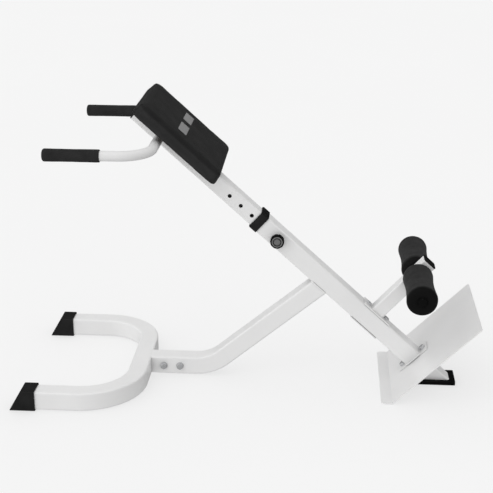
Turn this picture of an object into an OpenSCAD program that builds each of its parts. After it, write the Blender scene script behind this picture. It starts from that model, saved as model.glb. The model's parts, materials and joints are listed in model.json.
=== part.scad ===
// Roman chair: a back-extension bench with a telescoping hip pad, ankle rollers and a foot plate.
// X runs from the front feet (-) to the foot plate (+), Y is across, Z is up from the floor.
// The beam frame has its z along the sloping beam (distance s) and its x square to it (height h).

/* [Tubes] */
// Width of the square outer tubes
outer_w = 50; // [48:1:52]
// Width of the square telescoping tube
inner_w = 45; // [43:0.5:45]
// Wall thickness of the square tubes
wall = 2; // [1.5:0.5:2]
// Outer corner radius of the square tubes
corner_r = 5; // [4:0.5:6]

/* [Base] */
// Distance between the centres of the two floor arms
arm_spacing = 476; // [440:1:520]
// Distance from the front feet's tips to the centre of the cross part
base_depth = 315; // [280:1:330]
// Centreline bend radius of the U-shaped base
base_bend_r = 140; // [110:1:160]
// Height of the base tube's underside above the floor
foot_t = 3; // [2:0.5:5]
// Distance from the front feet's tips to the corner of the support tube's bend
support_knee = 506; // [490:1:520]
// Slope of the support tube
support_angle = 39.6; // [38:0.2:42]
// Centreline bend radius of the support tube
support_bend_r = 120; // [90:1:125]

/* [Beam] */
// Distance from the front feet's tips to where the beam's underside would meet the floor
beam_ground = 1098.7; // [1080:0.1:1110]
// Slope of the beam
beam_angle = 42.33; // [41:0.01:44]
// Distance along the beam to the mouth of the outer tube
mouth_s = 650; // [640:1:656]
// Distance between the adjustment holes
hole_pitch = 39.4; // [38:0.2:43]
// Diameter of the adjustment holes
hole_d = 11; // [10.5:0.5:12]

/* [Foot plate] */
// Distance from the front feet's tips to the foot plate's fold at the floor
plate_ground = 998.4; // [990:0.1:1005]
// Slope of the foot plate
plate_angle = 45; // [43:0.5:47]
// Length of the sloping part of the foot plate
plate_l = 314.5; // [280:0.1:340]
// Width of the foot plate
plate_w = 322; // [280:1:360]
// Thickness of the foot plate
plate_t = 3; // [2.5:0.5:5]
// Length of the lip that lies on the floor
lip_l = 26; // [20:1:32]

/* [Rollers] */
// Distance along the beam to the roller post
post_s = 236.5; // [232:0.5:244]
// Width of the roller post
post_w = 38; // [34:1:38]
// Height of the roller axle above the beam's underside
axle_h = 204.5; // [198:0.5:212]
// Largest radius of an ankle roller
roller_r = 40; // [38:0.5:42]
// Smallest radius of an ankle roller, at its waist
roller_waist_r = 36.5; // [33:0.5:38]
// Length of one ankle roller
roller_l = 180; // [150:1:182]

/* [Hip pad] */
// Width of the pad, across the bench
pad_w = 284; // [250:1:300]
// Length of the pad, along the beam
pad_l = 277; // [250:1:280]
// Distance along the beam to the middle of the pad
pad_s = 951.5; // [945:0.5:955]
// Thickness of the pad with its board
pad_t = 36; // [32:1:40]

/* [Handles] */
// Distance between the centres of the two grips
grip_spacing = 480; // [440:1:500]
// Outer diameter of the handle tube
handle_d = 25.4; // [22:0.1:25.4]
// Outer diameter of the foam grips
grip_d = 32; // [30:0.5:34]
// Length of the foam grips
grip_l = 141; // [125:1:146]
// Centreline bend radius of the handles
handle_bend_r = 75; // [60:1:90]
// Distance along the beam to the handles' cross part
handle_s = 991; // [980:0.5:995]
// Distance from the front feet's tips to the left grip's end
grip_tip = 124; // [110:1:135]
// How much further back the right grip's end is
grip_offset = 13; // [0:1:20]

/* [Pull pin] */
// Travel of the pull pin
pin_travel = 7; // [6:0.5:8]
// Diameter of the pin's nose
pin_d = 10; // [9:0.5:10]
// Diameter of the knob
knob_d = 37; // [34:0.5:40]

/* [Hidden] */

$fn = 48;
cut = 500;

white = [0.90, 0.90, 0.89];
black = [0.09, 0.09, 0.09];
dark = [0.16, 0.16, 0.16];
zinc = [0.70, 0.71, 0.72];

// The overall length, from the front feet's tips to the foot plate's upper edge, is centred on X = 0.
plate_tip = plate_ground + plate_l * cos(plate_angle) + plate_t * sin(plate_angle);
front_x = -plate_tip / 2;

base_z = foot_t + outer_w / 2;
cross_x = front_x + base_depth;
stub_x = cross_x + outer_w / 2;
knee_x = front_x + support_knee;
support_gap = 0.4;
stub_l = 108;
base_bolt_x = [for (d = [35, 80]) stub_x + d];
base_bolt_l = 66;

cap_l = 68.8;
cap_w = 58;
cap_top = 56.5;
cap_lean = 30;
cap_wall = 4;

beam_x = front_x + beam_ground;
beam_mid = outer_w / 2;
collar_low = 634;
collar_high = 658;
collar_w = 57;
collar_h = 53.4;

// Fastener sizes: thread, hole, width across flats, head, nut and washer
m8 = 8;
m8_hole = 8.5;
m8_flats = 13;
m8_head = 5.3;
m8_nut = 6.5;
m8_thin_nut = 4;
m8_washer = 17;
m8_washer_t = 1.6;
m10 = 10;
m10_hole = 10.5;
m10_flats = 16;
m10_head = 6.4;
m10_nut = 8;
m10_washer = 20;
m10_washer_t = 2;

flange_l = 100;
flange_t = 3;
flange_bolt = 36;
post_plate_l = 94;
post_bolt = 33;
post_top = 249;
post_cap_t = 3.5;

plate_x = front_x + plate_ground;
// Where the beam's centreline meets the foot plate: along the beam, and up the plate.
cross_sum = beam_angle + plate_angle;
end_s = (beam_ground - plate_ground) * sin(plate_angle) / sin(cross_sum)
    - beam_mid * cos(cross_sum) / sin(cross_sum);
end_w = (end_s * sin(beam_angle) + beam_mid * cos(beam_angle)) / sin(plate_angle);

shoe_low = front_x + 1070;
shoe_l = 108;
shoe_w = 76;
shoe_h = 10;
base_plate_t = 4;

axle_d = 20;
axle_half = roller_l + 24;
spacer_t = 2.7;
sleeve_d = 28;
sleeve_bore = axle_d + 0.12;
roller_in = post_w / 2 + 3.2;

pin_s = 578.5;
upper_holes_s = 632;
pin_holes = [for (k = [-2:0]) pin_s + k * hole_pitch, for (k = [0:3]) upper_holes_s + k * hole_pitch];
inner_low = 452;
inner_high = 1076;
barrel_d = 18;
barrel_out = 41;
seat_d = 13.4;
stem_d = 7;

bracket_t = 3;
bracket_w = 210;
bracket_l = 40;
bracket_s = [870, 1034];
screw_y = 75;
pad_screw_l = 13;
board_t = 12;
pad_low = beam_mid + inner_w / 2 + bracket_t;

// The handles leave the telescoping tube square to its sides and run level.
handle_x = beam_x - handle_s * cos(beam_angle) + beam_mid * sin(beam_angle);
handle_z = handle_s * sin(beam_angle) + beam_mid * cos(beam_angle);
handle_wall = 1.5;
grip_end_t = 4;

// ---- Shared shapes -------------------------------------------------------------------

module beam_frame(s = 0, h = 0) {
    translate([beam_x, 0, 0]) rotate([0, beam_angle - 90, 0]) translate([h, 0, s]) children();
}

// The foot plate's frame has its z up the plate and its x into the plate from the front face.
module plate_frame(w = 0) {
    translate([plate_x, 0, 0]) rotate([0, 90 - plate_angle, 0]) translate([0, 0, w]) children();
}

module rounded_rect(w, h, r) {
    square([w - 2 * r, h], center = true);
    square([w, h - 2 * r], center = true);
    for (x = [-1, 1], y = [-1, 1]) translate([x * (w / 2 - r), y * (h / 2 - r)]) circle(r);
}

module square_bar(w, l, r = corner_r) {
    linear_extrude(l) rounded_rect(w, w, r);
}

module square_tube(w, l, t = wall, r = corner_r) {
    linear_extrude(l) difference() {
        rounded_rect(w, w, r);
        rounded_rect(w - 2 * t, w - 2 * t, max(r - t, 1));
    }
}

module ring(d, bore, t) {
    difference() {
        cylinder(d = d, h = t);
        translate([0, 0, -1]) cylinder(d = bore, h = t + 2);
    }
}

module hex_nut(across_flats, thread_d, t) {
    difference() {
        cylinder(d = across_flats / cos(30), h = t, $fn = 6);
        translate([0, 0, -1]) cylinder(d = thread_d, h = t + 2);
    }
}

// The head sits above z = 0 and the shank runs down from it.
module hex_bolt(thread_d, across_flats, head_t, l) {
    cylinder(d = across_flats / cos(30), h = head_t, $fn = 6);
    translate([0, 0, -l]) cylinder(d = thread_d, h = l + 0.1);
}

module along_y(sides = [1]) {
    for (side = sides) mirror([0, side < 0 ? 1 : 0, 0]) rotate([-90, 0, 0]) children();
}

// ---- Base ----------------------------------------------------------------------------

module base_arm(side, w, r) {
    arm_l = base_depth - base_bend_r;
    bend_y = arm_spacing / 2 - base_bend_r;
    mirror([0, side < 0 ? 1 : 0, 0]) {
        translate([front_x - 1, arm_spacing / 2, base_z]) rotate([0, 90, 0]) square_bar(w, arm_l + 1, r);
        translate([front_x + arm_l, bend_y, base_z])
            rotate_extrude(angle = 90, $fn = 96) translate([base_bend_r, 0]) rounded_rect(w, w, r);
        translate([cross_x, -0.1, base_z]) rotate([-90, 0, 0]) square_bar(w, bend_y + 0.1, r);
    }
}

// Everything in front of the slanted face that closes the arms, set back by d.
module slant_cut(d = 0) {
    translate([front_x, 0, 0]) rotate([0, cap_lean, 0]) translate([d - cut, -cut, -cut])
        cube([cut, 2 * cut, 2 * cut]);
}

module base_tube() {
    color(white) difference() {
        for (side = [-1, 1]) base_arm(side, outer_w, corner_r);
        for (side = [-1, 1]) base_arm(side, outer_w - 2 * wall, corner_r - wall);
        slant_cut(cap_wall);
    }
}

module base_stub() {
    color(white) difference() {
        translate([stub_x, 0, base_z]) rotate([0, 90, 0]) square_tube(inner_w, stub_l);
        at_base_bolts(-cut) along_y() cylinder(d = m10_hole, h = 2 * cut);
    }
}

module front_cap(side) {
    color(black) difference() {
        translate([front_x, side * arm_spacing / 2, cap_top / 2]) rotate([0, 90, 0])
            linear_extrude(cap_l) rounded_rect(cap_top, cap_w, 4);
        translate([front_x - 1, side * arm_spacing / 2, base_z]) rotate([0, 90, 0])
            difference() {
                square_bar(outer_w, cap_l + 2);
                rotate([0, -90, 0]) translate([-front_x, 0, -base_z]) slant_cut(cap_wall);
            }
        slant_cut();
    }
}

module front_cap_left() { front_cap(-1); }
module front_cap_right() { front_cap(1); }

module support_shape(w, r, spare = 0) {
    tangent = support_bend_r * tan(support_angle / 2);
    start = stub_x - corner_r - spare;
    translate([start, 0, base_z]) rotate([0, 90, 0]) square_bar(w, knee_x - tangent - start, r);
    translate([knee_x - tangent, 0, base_z + support_bend_r]) rotate([90, 0, 0])
        rotate([0, 0, -90]) rotate_extrude(angle = support_angle, $fn = 96)
            translate([support_bend_r, 0]) rounded_rect(w, w, r);
    translate([knee_x, 0, base_z]) rotate([0, 90 - support_angle, 0]) translate([0, 0, tangent])
        square_bar(w, cut, r);
}

module support_tube() {
    color(white) difference() {
        support_shape(outer_w, corner_r);
        support_shape(outer_w - 2 * wall, corner_r - wall, 1);
        translate([cross_x, -outer_w, base_z]) rotate([-90, 0, 0])
            square_bar(outer_w + support_gap, 2 * outer_w);
        beam_frame() translate([0, -cut, -cut]) cube([2 * cut, 2 * cut, 4 * cut]);
        at_base_bolts(-cut) along_y() cylinder(d = m10_hole, h = 2 * cut);
    }
}

module at_base_bolts(y) {
    for (x = base_bolt_x) translate([x, y, base_z]) children();
}

module base_bolts() {
    color(zinc) at_base_bolts(-outer_w / 2 - m10_washer_t) rotate([90, 0, 0])
        hex_bolt(m10, m10_flats, m10_head, base_bolt_l);
}

module base_washers() {
    color(zinc) {
        at_base_bolts(-outer_w / 2) rotate([90, 0, 0]) ring(m10_washer, m10_hole, m10_washer_t);
        at_base_bolts(outer_w / 2) rotate([-90, 0, 0]) ring(m10_washer, m10_hole, m10_washer_t);
    }
}

module base_nuts() {
    color(zinc) at_base_bolts(outer_w / 2 + m10_washer_t) rotate([-90, 0, 0])
        hex_nut(m10_flats, m10, m10_nut);
}

// ---- Beam ----------------------------------------------------------------------------

module main_beam() {
    pin_hole = pin_d + 0.14;
    color(white) difference() {
        beam_frame(0, beam_mid) square_tube(outer_w, mouth_s);
        plate_frame() translate([-flange_t, -cut, -cut]) cube([cut, 2 * cut, 2 * cut]);
        beam_frame(pin_s, beam_mid) translate([0, -beam_mid - 1, 0]) along_y()
            cylinder(d = pin_hole, h = wall + 2);
        for (d = [-post_bolt, post_bolt])
            beam_frame(post_s + d, -1) rotate([0, 90, 0]) cylinder(d = m8_hole, h = outer_w + 2);
    }
}

module beam_collar() {
    bevel = 2.5;
    step = 1;
    straight = collar_high - collar_low - bevel;
    color(black) difference() {
        beam_frame(collar_low, beam_mid) {
            linear_extrude(straight) rounded_rect(collar_h, collar_w, 3);
            hull() {
                translate([0, 0, straight]) linear_extrude(0.01)
                    rounded_rect(collar_h, collar_w, 3, $fn = 32);
                translate([0, 0, straight + bevel - 0.01]) linear_extrude(0.01)
                    rounded_rect(collar_h - bevel, collar_w - bevel, 3, $fn = 32);
            }
        }
        beam_frame(collar_low - step, beam_mid) square_bar(outer_w, mouth_s - collar_low + step);
        beam_frame(mouth_s - step, beam_mid) square_bar(inner_w + 1, cut, corner_r - 1);
    }
}

module flange_shape(l, bolt) {
    difference() {
        rounded_rect(l, outer_w, 4);
        for (d = [-bolt, bolt]) translate([d, 0]) circle(d = m8_hole);
    }
}

// A plate lying on the beam, from h upwards, with its length along the beam.
module beam_plate(h) {
    beam_frame(post_s, h) rotate([0, 90, 0]) linear_extrude(flange_t)
        flange_shape(post_plate_l, post_bolt);
}

module post_flange() { color(white) beam_plate(outer_w); }
module post_back_plate() { color(white) beam_plate(-flange_t); }

module roller_post() {
    color(white) difference() {
        beam_frame(post_s, outer_w + flange_t) rotate([0, 90, 0])
            square_tube(post_w, post_top - outer_w - flange_t, 2, 4);
        beam_frame(post_s, axle_h) translate([0, -cut, 0]) along_y() cylinder(d = axle_d, h = 2 * cut);
    }
}

module post_cap() {
    plug_l = 14;
    color(black) beam_frame(post_s, post_top) rotate([0, 90, 0]) {
        linear_extrude(post_cap_t) rounded_rect(post_w + 1, post_w + 1, 4.5);
        translate([0, 0, -plug_l]) square_tube(post_w - 4.2, plug_l + 0.1, 2, 2);
    }
}

module at_post_bolts(h) {
    for (d = [-post_bolt, post_bolt]) beam_frame(post_s + d, h) rotate([0, 90, 0]) children();
}

module post_bolts() {
    bolt_l = 62;
    color(zinc) at_post_bolts(outer_w + flange_t) hex_bolt(m8, m8_flats, m8_head, bolt_l);
}

module post_washers() {
    color(zinc) at_post_bolts(-flange_t - m8_washer_t) ring(m8_washer, m8_hole, m8_washer_t);
}

module post_nuts() {
    color(zinc) at_post_bolts(-flange_t - m8_washer_t - m8_thin_nut)
        hex_nut(m8_flats, m8, m8_thin_nut);
}

module roller_axle() {
    color(zinc) beam_frame(post_s, axle_h) translate([0, -axle_half, 0]) along_y()
        ring(axle_d, axle_d - 4, 2 * axle_half);
}

module axle_spacers() {
    color(dark) beam_frame(post_s, axle_h) along_y([-1, 1])
        translate([0, 0, post_w / 2]) ring(32, axle_d + 0.1, spacer_t);
}

module axle_end_plugs() {
    head_d = 22;
    color(dark) beam_frame(post_s, axle_h) along_y([-1, 1]) {
        translate([0, 0, axle_half]) cylinder(d = head_d, h = 2.5);
        translate([0, 0, axle_half - 16]) cylinder(d = axle_d - 4, h = 16.1);
    }
}

// ---- Foot plate and rear foot -----------------------------------------------------------

module end_plate(depth) {
    plate_frame(end_w) translate([depth, 0, 0]) rotate([0, 90, 0]) linear_extrude(flange_t)
        flange_shape(flange_l, flange_bolt);
}

module beam_end_flange() { color(white) end_plate(-flange_t); }
module rear_foot_flange() { color(white) end_plate(plate_t); }

module foot_plate() {
    edge_r = 6;
    lip_r = 10;
    fold = plate_t / tan(plate_angle);
    color(white) difference() {
        union() {
            intersection() {
                plate_frame(plate_l / 2 - edge_r) rotate([0, 90, 0]) linear_extrude(plate_t)
                    rounded_rect(plate_l + 2 * edge_r, plate_w, edge_r);
                translate([plate_x - cut, -cut, 0]) cube(2 * cut);
            }
            translate([plate_x, 0, 0]) linear_extrude(plate_t) intersection() {
                rounded_rect(2 * lip_l, plate_w, lip_r);
                translate([-lip_l, -plate_w / 2]) square([lip_l + fold, plate_w]);
            }
        }
        for (d = [-flange_bolt, flange_bolt])
            plate_frame(end_w + d) translate([-1, 0, 0]) rotate([0, 90, 0])
                cylinder(d = m8_hole, h = plate_t + 2);
    }
}

module rear_foot_tube() {
    color(white) difference() {
        beam_frame(-outer_w, beam_mid) square_tube(outer_w, end_s + 2 * outer_w);
        plate_frame() translate([plate_t + flange_t - cut, -cut, -cut]) cube([cut, 2 * cut, 3 * cut]);
        translate([0, -cut, foot_t + base_plate_t - cut]) cube([2 * cut, 2 * cut, cut]);
    }
}

// The rear foot's sloping outline between two heights above the floor.
module foot_bar(w, low, high) {
    intersection() {
        beam_frame(-2 * outer_w, beam_mid) square_bar(w, 4 * outer_w);
        translate([beam_x - outer_w, -outer_w, low]) cube([4 * outer_w, 2 * outer_w, high - low]);
    }
}

module rear_foot_base() { color(white) foot_bar(outer_w, foot_t, foot_t + base_plate_t); }

module rear_shoe() {
    color(black) difference() {
        translate([shoe_low + shoe_l / 2, 0, 0]) linear_extrude(shoe_h)
            rounded_rect(shoe_l, shoe_w, 3);
        foot_bar(outer_w + 0.3, foot_t, shoe_h + 1);
    }
}

module at_plate_bolts(depth) {
    for (d = [-flange_bolt, flange_bolt])
        plate_frame(end_w + d) translate([depth, 0, 0]) rotate([0, -90, 0]) children();
}

module plate_bolts() {
    bolt_l = 21;
    color(zinc) at_plate_bolts(-flange_t - m8_washer_t)
        hex_bolt(m8, m8_flats, m8_head, bolt_l);
}

module plate_washers() {
    color(zinc) {
        at_plate_bolts(-flange_t) ring(m8_washer, m8_hole, m8_washer_t);
        at_plate_bolts(plate_t + flange_t + m8_washer_t) ring(m8_washer, m8_hole, m8_washer_t);
    }
}

module plate_nuts() {
    color(zinc) at_plate_bolts(plate_t + flange_t + m8_washer_t + m8_nut)
        hex_nut(m8_flats, m8, m8_nut);
}

// ---- Pull pin ----------------------------------------------------------------------------

// The pin's own frame has z pointing out of the beam's left side from its centreline.
module pin_frame(out = 0) {
    beam_frame(pin_s, beam_mid) rotate([90, 0, 0]) translate([0, 0, out]) children();
}

module pin_weld_nut() {
    nut_flats = 24;
    nut_t = 5;
    color(white) pin_frame(beam_mid) hex_nut(nut_flats, barrel_d, nut_t);
}

module pin_barrel() {
    end_wall = 3;
    color(zinc) difference() {
        pin_frame(beam_mid) cylinder(d = barrel_d, h = barrel_out - beam_mid);
        pin_frame(beam_mid - 1) cylinder(d = seat_d, h = barrel_out - beam_mid - end_wall + 1);
        pin_frame(beam_mid) cylinder(d = stem_d + 0.14, h = barrel_out);
    }
}

spring_d = 11.6;
spring_wire = 0.8;
spring_turns = 3.5;
spring_pitch = 0.85;

function spring_point(turn, around) =
    let (r = spring_d / 2 - spring_wire / 2 * (1 - cos(around)))
    [r * cos(360 * turn), r * sin(360 * turn), spring_pitch * turn + spring_wire / 2 * sin(around)];

module pin_spring() {
    sides = 8;
    rings = 56;
    points = [for (k = [0:rings], a = [0:sides - 1]) spring_point(spring_turns * k / rings, 360 * a / sides)];
    skin = [for (k = [0:rings - 1], a = [0:sides - 1])
        [k * sides + a, k * sides + (a + 1) % sides, (k + 1) * sides + (a + 1) % sides, (k + 1) * sides + a]];
    low_end = [[for (a = [sides - 1:-1:0]) a]];
    high_end = [[for (a = [0:sides - 1]) rings * sides + a]];
    color(zinc) pin_frame(barrel_out - 3 - 0.5 - spring_pitch * spring_turns)
        polyhedron(points, concat(skin, low_end, high_end));
}

module pin_plunger() {
    seat_t = 1.6;
    nose_out = beam_mid - wall + 0.3;
    seat_out = beam_mid + pin_travel + 0.2;
    color(zinc) {
        pin_frame(nose_out) cylinder(d = pin_d, h = seat_out - nose_out + 0.1);
        pin_frame(seat_out) cylinder(d = seat_d - 0.6, h = seat_t);
        pin_frame(seat_out) cylinder(d = stem_d, h = barrel_out + pin_travel + 0.6 - seat_out);
    }
}

knob_back = 38;
knob_l = 14;
knob_web = 3.4;

module pin_knob() {
    skirt_bore = barrel_d + 3;
    flute_d = 5;
    flutes = 10;
    color(black) difference() {
        pin_frame(knob_back) {
            cylinder(d = knob_d, h = knob_l - 1.5);
            translate([0, 0, knob_l - 1.5]) cylinder(d1 = knob_d, d2 = knob_d - 3, h = 1.5);
        }
        pin_frame(knob_back - 1) cylinder(d = skirt_bore, h = knob_l - knob_web + 1);
        pin_frame(knob_back + knob_l - 1) cylinder(d = 29, h = 2);
        pin_frame(knob_back - 1) for (k = [0:flutes - 1]) rotate([0, 0, 360 * k / flutes])
            translate([knob_d / 2 + 1.6, 0, 0]) cylinder(d = flute_d, h = knob_l + 2);
    }
}

module pin_knob_disc() {
    color(zinc) difference() {
        pin_frame(knob_back + knob_l - 1) {
            cylinder(d = 29, h = 1.2);
            cylinder(d = 13, h = 2.4);
        }
        pin_frame(knob_back + knob_l - 0.3) ring(22, 18, 2);
    }
}

// ---- Telescoping carriage ------------------------------------------------------------------

module inner_tube() {
    color(white) difference() {
        beam_frame(inner_low, beam_mid) square_tube(inner_w, inner_high - inner_low, wall, corner_r - 0.5);
        for (s = pin_holes) beam_frame(s, beam_mid) translate([0, -inner_w / 2 - 1, 0]) along_y()
            cylinder(d = hole_d, h = wall + 2);
    }
}

module inner_tube_plug() {
    cap_t = 2.5;
    plug_l = 16;
    color(black) beam_frame(inner_high, beam_mid) {
        linear_extrude(cap_t) rounded_rect(inner_w, inner_w, corner_r - 0.5);
        translate([0, 0, -plug_l]) square_tube(inner_w - 2 * wall - 0.2, plug_l + 0.1, 2, 2.5);
    }
}

module pad_bracket(s) {
    color(white) beam_frame(s, pad_low - bracket_t) rotate([0, 90, 0]) linear_extrude(bracket_t)
        difference() {
            rounded_rect(bracket_l, bracket_w, 6);
            for (y = [-screw_y, screw_y]) translate([0, y]) circle(d = m8_hole);
        }
}

module pad_bracket_lower() { pad_bracket(bracket_s[0]); }
module pad_bracket_upper() { pad_bracket(bracket_s[1]); }

module at_pad_screws(h) {
    for (s = bracket_s, y = [-screw_y, screw_y])
        beam_frame(s, h) translate([0, y, 0]) rotate([0, -90, 0]) children();
}

module pad_board() {
    board_edge = 6;
    color("burlywood") difference() {
        beam_frame(pad_s, pad_low) rotate([0, 90, 0]) linear_extrude(board_t)
            rounded_rect(pad_l - 2 * board_edge, pad_w - 2 * board_edge, 14);
        for (s = bracket_s, y = [-screw_y, screw_y]) beam_frame(s, pad_low - 1) translate([0, y, 0])
            rotate([0, 90, 0]) cylinder(d = 10, h = board_t + 2);
    }
}

module hip_pad() {
    skirt = -2.5;
    soft_edge = 8;
    corner = 20;
    h = pad_t - skirt;
    color(dark) difference() {
        beam_frame(pad_s, pad_low + skirt) rotate([0, 90, 0]) {
            linear_extrude(h - soft_edge) rounded_rect(pad_l, pad_w, corner);
            hull() {
                translate([0, 0, h - soft_edge]) linear_extrude(0.01)
                    rounded_rect(pad_l, pad_w, corner, $fn = 32);
                translate([0, 0, h - 2]) linear_extrude(0.01)
                    rounded_rect(pad_l - 9, pad_w - 9, corner - 4, $fn = 32);
                translate([0, 0, h - 0.01]) linear_extrude(0.01)
                    rounded_rect(pad_l - 18, pad_w - 18, corner - 8, $fn = 32);
            }
        }
        beam_frame(pad_s, pad_low - 4) rotate([0, 90, 0]) linear_extrude(board_t + 5.5)
            rounded_rect(pad_l - 11, pad_w - 11, 14.5);
    }
}

module pad_screws() {
    color(zinc) at_pad_screws(pad_low - bracket_t) hex_bolt(m8, m8_flats, m8_head, pad_screw_l);
}

module pad_tee_nuts() {
    tee_t = 1.4;
    color(zinc) at_pad_screws(pad_low + board_t) {
        translate([0, 0, -tee_t]) ring(20, m8, tee_t);
        ring(9.9, m8, 8);
    }
}

function grip_x(side) = front_x + grip_tip + (side > 0 ? grip_offset : 0);

module handle_shape(side, d) {
    bend_y = grip_spacing / 2 - handle_bend_r;
    arm_x = grip_x(side) + grip_end_t;
    translate([handle_x, inner_w / 2, handle_z]) rotate([-90, 0, 0])
        cylinder(d = d, h = bend_y - inner_w / 2);
    translate([handle_x - handle_bend_r, bend_y, handle_z]) rotate_extrude(angle = 90, $fn = 96)
        translate([handle_bend_r, 0]) circle(d = d);
    translate([arm_x, grip_spacing / 2, handle_z]) rotate([0, 90, 0])
        cylinder(d = d, h = handle_x - handle_bend_r - arm_x);
}

module handlebar(side) {
    color(white) mirror([0, side < 0 ? 1 : 0, 0]) difference() {
        handle_shape(side, handle_d);
        handle_shape(side, handle_d - 2 * handle_wall);
    }
}

module handlebar_left() { handlebar(-1); }
module handlebar_right() { handlebar(1); }

module at_grip(side) {
    translate([grip_x(side), side * grip_spacing / 2, handle_z]) rotate([0, 90, 0]) children();
}

module handle_plugs() {
    color(black) for (side = [-1, 1]) at_grip(side) translate([0, 0, grip_end_t])
        cylinder(d = handle_d - 2 * handle_wall, h = 12);
}

module grip(side) {
    round_r = 4;
    r = grip_d / 2;
    color(dark) at_grip(side) rotate_extrude() difference() {
        union() {
            square([r - round_r, grip_l]);
            translate([0, round_r]) square([r, grip_l - round_r]);
            translate([r - round_r, round_r]) circle(round_r);
        }
        translate([-1, grip_end_t]) square([handle_d / 2 + 1, grip_l]);
        translate([-2 * r, -r]) square([2 * r, 2 * grip_l]);
    }
}

module grip_left() { grip(-1); }
module grip_right() { grip(1); }

// ---- Ankle rollers -------------------------------------------------------------------------

module roller_sleeve(side) {
    color(dark) beam_frame(post_s, axle_h) along_y([side])
        translate([0, 0, roller_in]) ring(sleeve_d, sleeve_bore, roller_l);
}

// The profile narrows from a round shoulder at each end to the waist in the middle.
module roller_foam(side) {
    steps = 24;
    shoulder = 14;
    shoulder_drop = 11.2;
    waist_power = 1.7;
    swell = roller_l - 2 * shoulder;
    profile = [for (k = [0:steps]) let (t = k / steps)
        [roller_waist_r + (roller_r - roller_waist_r) * pow(abs(2 * t - 1), waist_power),
         shoulder + swell * t]];
    low_round = [for (a = [0:15:75])
        [roller_r - shoulder_drop * (1 - sin(a)), shoulder * (1 - cos(a))]];
    high_round = [for (a = [75:-15:0])
        [roller_r - shoulder_drop * (1 - sin(a)), roller_l - shoulder * (1 - cos(a))]];
    color(dark) beam_frame(post_s, axle_h) along_y([side]) translate([0, 0, roller_in])
        rotate_extrude($fn = 64) polygon(concat(
            [[sleeve_d / 2, 0]], low_round, profile, high_round, [[sleeve_d / 2, roller_l]]));
}

module roller_sleeve_left() { roller_sleeve(-1); }
module roller_sleeve_right() { roller_sleeve(1); }
module roller_foam_left() { roller_foam(-1); }
module roller_foam_right() { roller_foam(1); }

base_tube();
base_stub();
front_cap_left();
front_cap_right();
support_tube();
base_bolts();
base_washers();
base_nuts();
main_beam();
beam_collar();
post_flange();
post_back_plate();
roller_post();
post_cap();
post_bolts();
post_washers();
post_nuts();
roller_axle();
axle_spacers();
axle_end_plugs();
beam_end_flange();
foot_plate();
rear_foot_flange();
rear_foot_tube();
rear_foot_base();
rear_shoe();
plate_bolts();
plate_washers();
plate_nuts();
pin_weld_nut();
pin_barrel();
pin_spring();
pin_plunger();
pin_knob();
pin_knob_disc();
inner_tube();
inner_tube_plug();
pad_bracket_lower();
pad_bracket_upper();
pad_board();
hip_pad();
pad_screws();
pad_tee_nuts();
handlebar_left();
handlebar_right();
handle_plugs();
grip_left();
grip_right();
roller_sleeve_left();
roller_foam_left();
roller_sleeve_right();
roller_foam_right();
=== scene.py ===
import json
import math

import bmesh
import bpy
from mathutils import Matrix, Vector, noise
from mathutils.bvhtree import BVHTree


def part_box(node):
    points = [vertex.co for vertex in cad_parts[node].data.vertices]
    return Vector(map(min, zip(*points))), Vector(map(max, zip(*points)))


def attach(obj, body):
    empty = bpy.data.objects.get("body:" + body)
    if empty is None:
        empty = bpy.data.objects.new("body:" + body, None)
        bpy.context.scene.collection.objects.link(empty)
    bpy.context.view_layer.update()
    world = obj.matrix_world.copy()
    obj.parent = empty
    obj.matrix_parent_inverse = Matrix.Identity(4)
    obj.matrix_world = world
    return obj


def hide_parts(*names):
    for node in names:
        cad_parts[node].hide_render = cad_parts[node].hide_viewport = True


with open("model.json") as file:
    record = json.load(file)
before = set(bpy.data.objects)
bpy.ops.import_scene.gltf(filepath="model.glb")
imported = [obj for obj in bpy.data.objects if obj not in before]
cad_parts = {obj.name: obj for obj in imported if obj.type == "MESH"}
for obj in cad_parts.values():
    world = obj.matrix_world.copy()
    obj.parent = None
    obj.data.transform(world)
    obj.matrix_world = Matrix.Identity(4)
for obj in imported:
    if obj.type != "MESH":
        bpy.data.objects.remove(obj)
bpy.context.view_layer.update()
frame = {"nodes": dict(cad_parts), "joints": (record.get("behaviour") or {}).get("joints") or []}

NODES = frame["nodes"]
MM = 0.001

# ---- Places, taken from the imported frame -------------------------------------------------

SLIDE = next(j for j in frame["joints"] if j["name"] == "carriage_slide")
ALONG = Vector(SLIDE["axis"]).normalized()      # up the sloping beam
ACROSS = Vector((0, 1, 0))
OUT = ACROSS.cross(ALONG).normalized()          # square to the beam, upwards

POST_S, AXLE_H = 236.5 * MM, 204.5 * MM


def middle(node):
    low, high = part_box(node)
    return (low + high) / 2


BEAM_ORIGIN = middle("roller_axle") - ALONG * POST_S - OUT * AXLE_H


def on_beam(s, h, y=0.0):
    """The point s up the beam, h above its underside and y across, in metres."""
    return BEAM_ORIGIN + ALONG * s + OUT * h + ACROSS * y


BEAM_W, INNER_TOP = 50 * MM, 47.5 * MM          # tops of the beam and of the telescoping tube
BRACKET_S = (870 * MM, 1034 * MM)               # the pad's brackets, up the beam
BASE_BOLT, POST_BOLT, FLANGE_BOLT = 22.5 * MM, 33 * MM, 36 * MM     # each from its pair's middle
PLATE_T, FLANGE_T = 3 * MM, 3 * MM
PLATE_UP = Vector((1, 0, 1)).normalized()
PLATE_IN = Vector((1, 0, -1)).normalized()
PLATE_MID = middle("plate_washers")             # in the middle of the plate's thickness


def on_plate(w, depth):
    """The point w up the foot plate from the beam's centre and depth into it."""
    return PLATE_MID + PLATE_UP * w + PLATE_IN * (depth - PLATE_T / 2)


# ---- Camera ------------------------------------------------------------------------------

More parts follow.
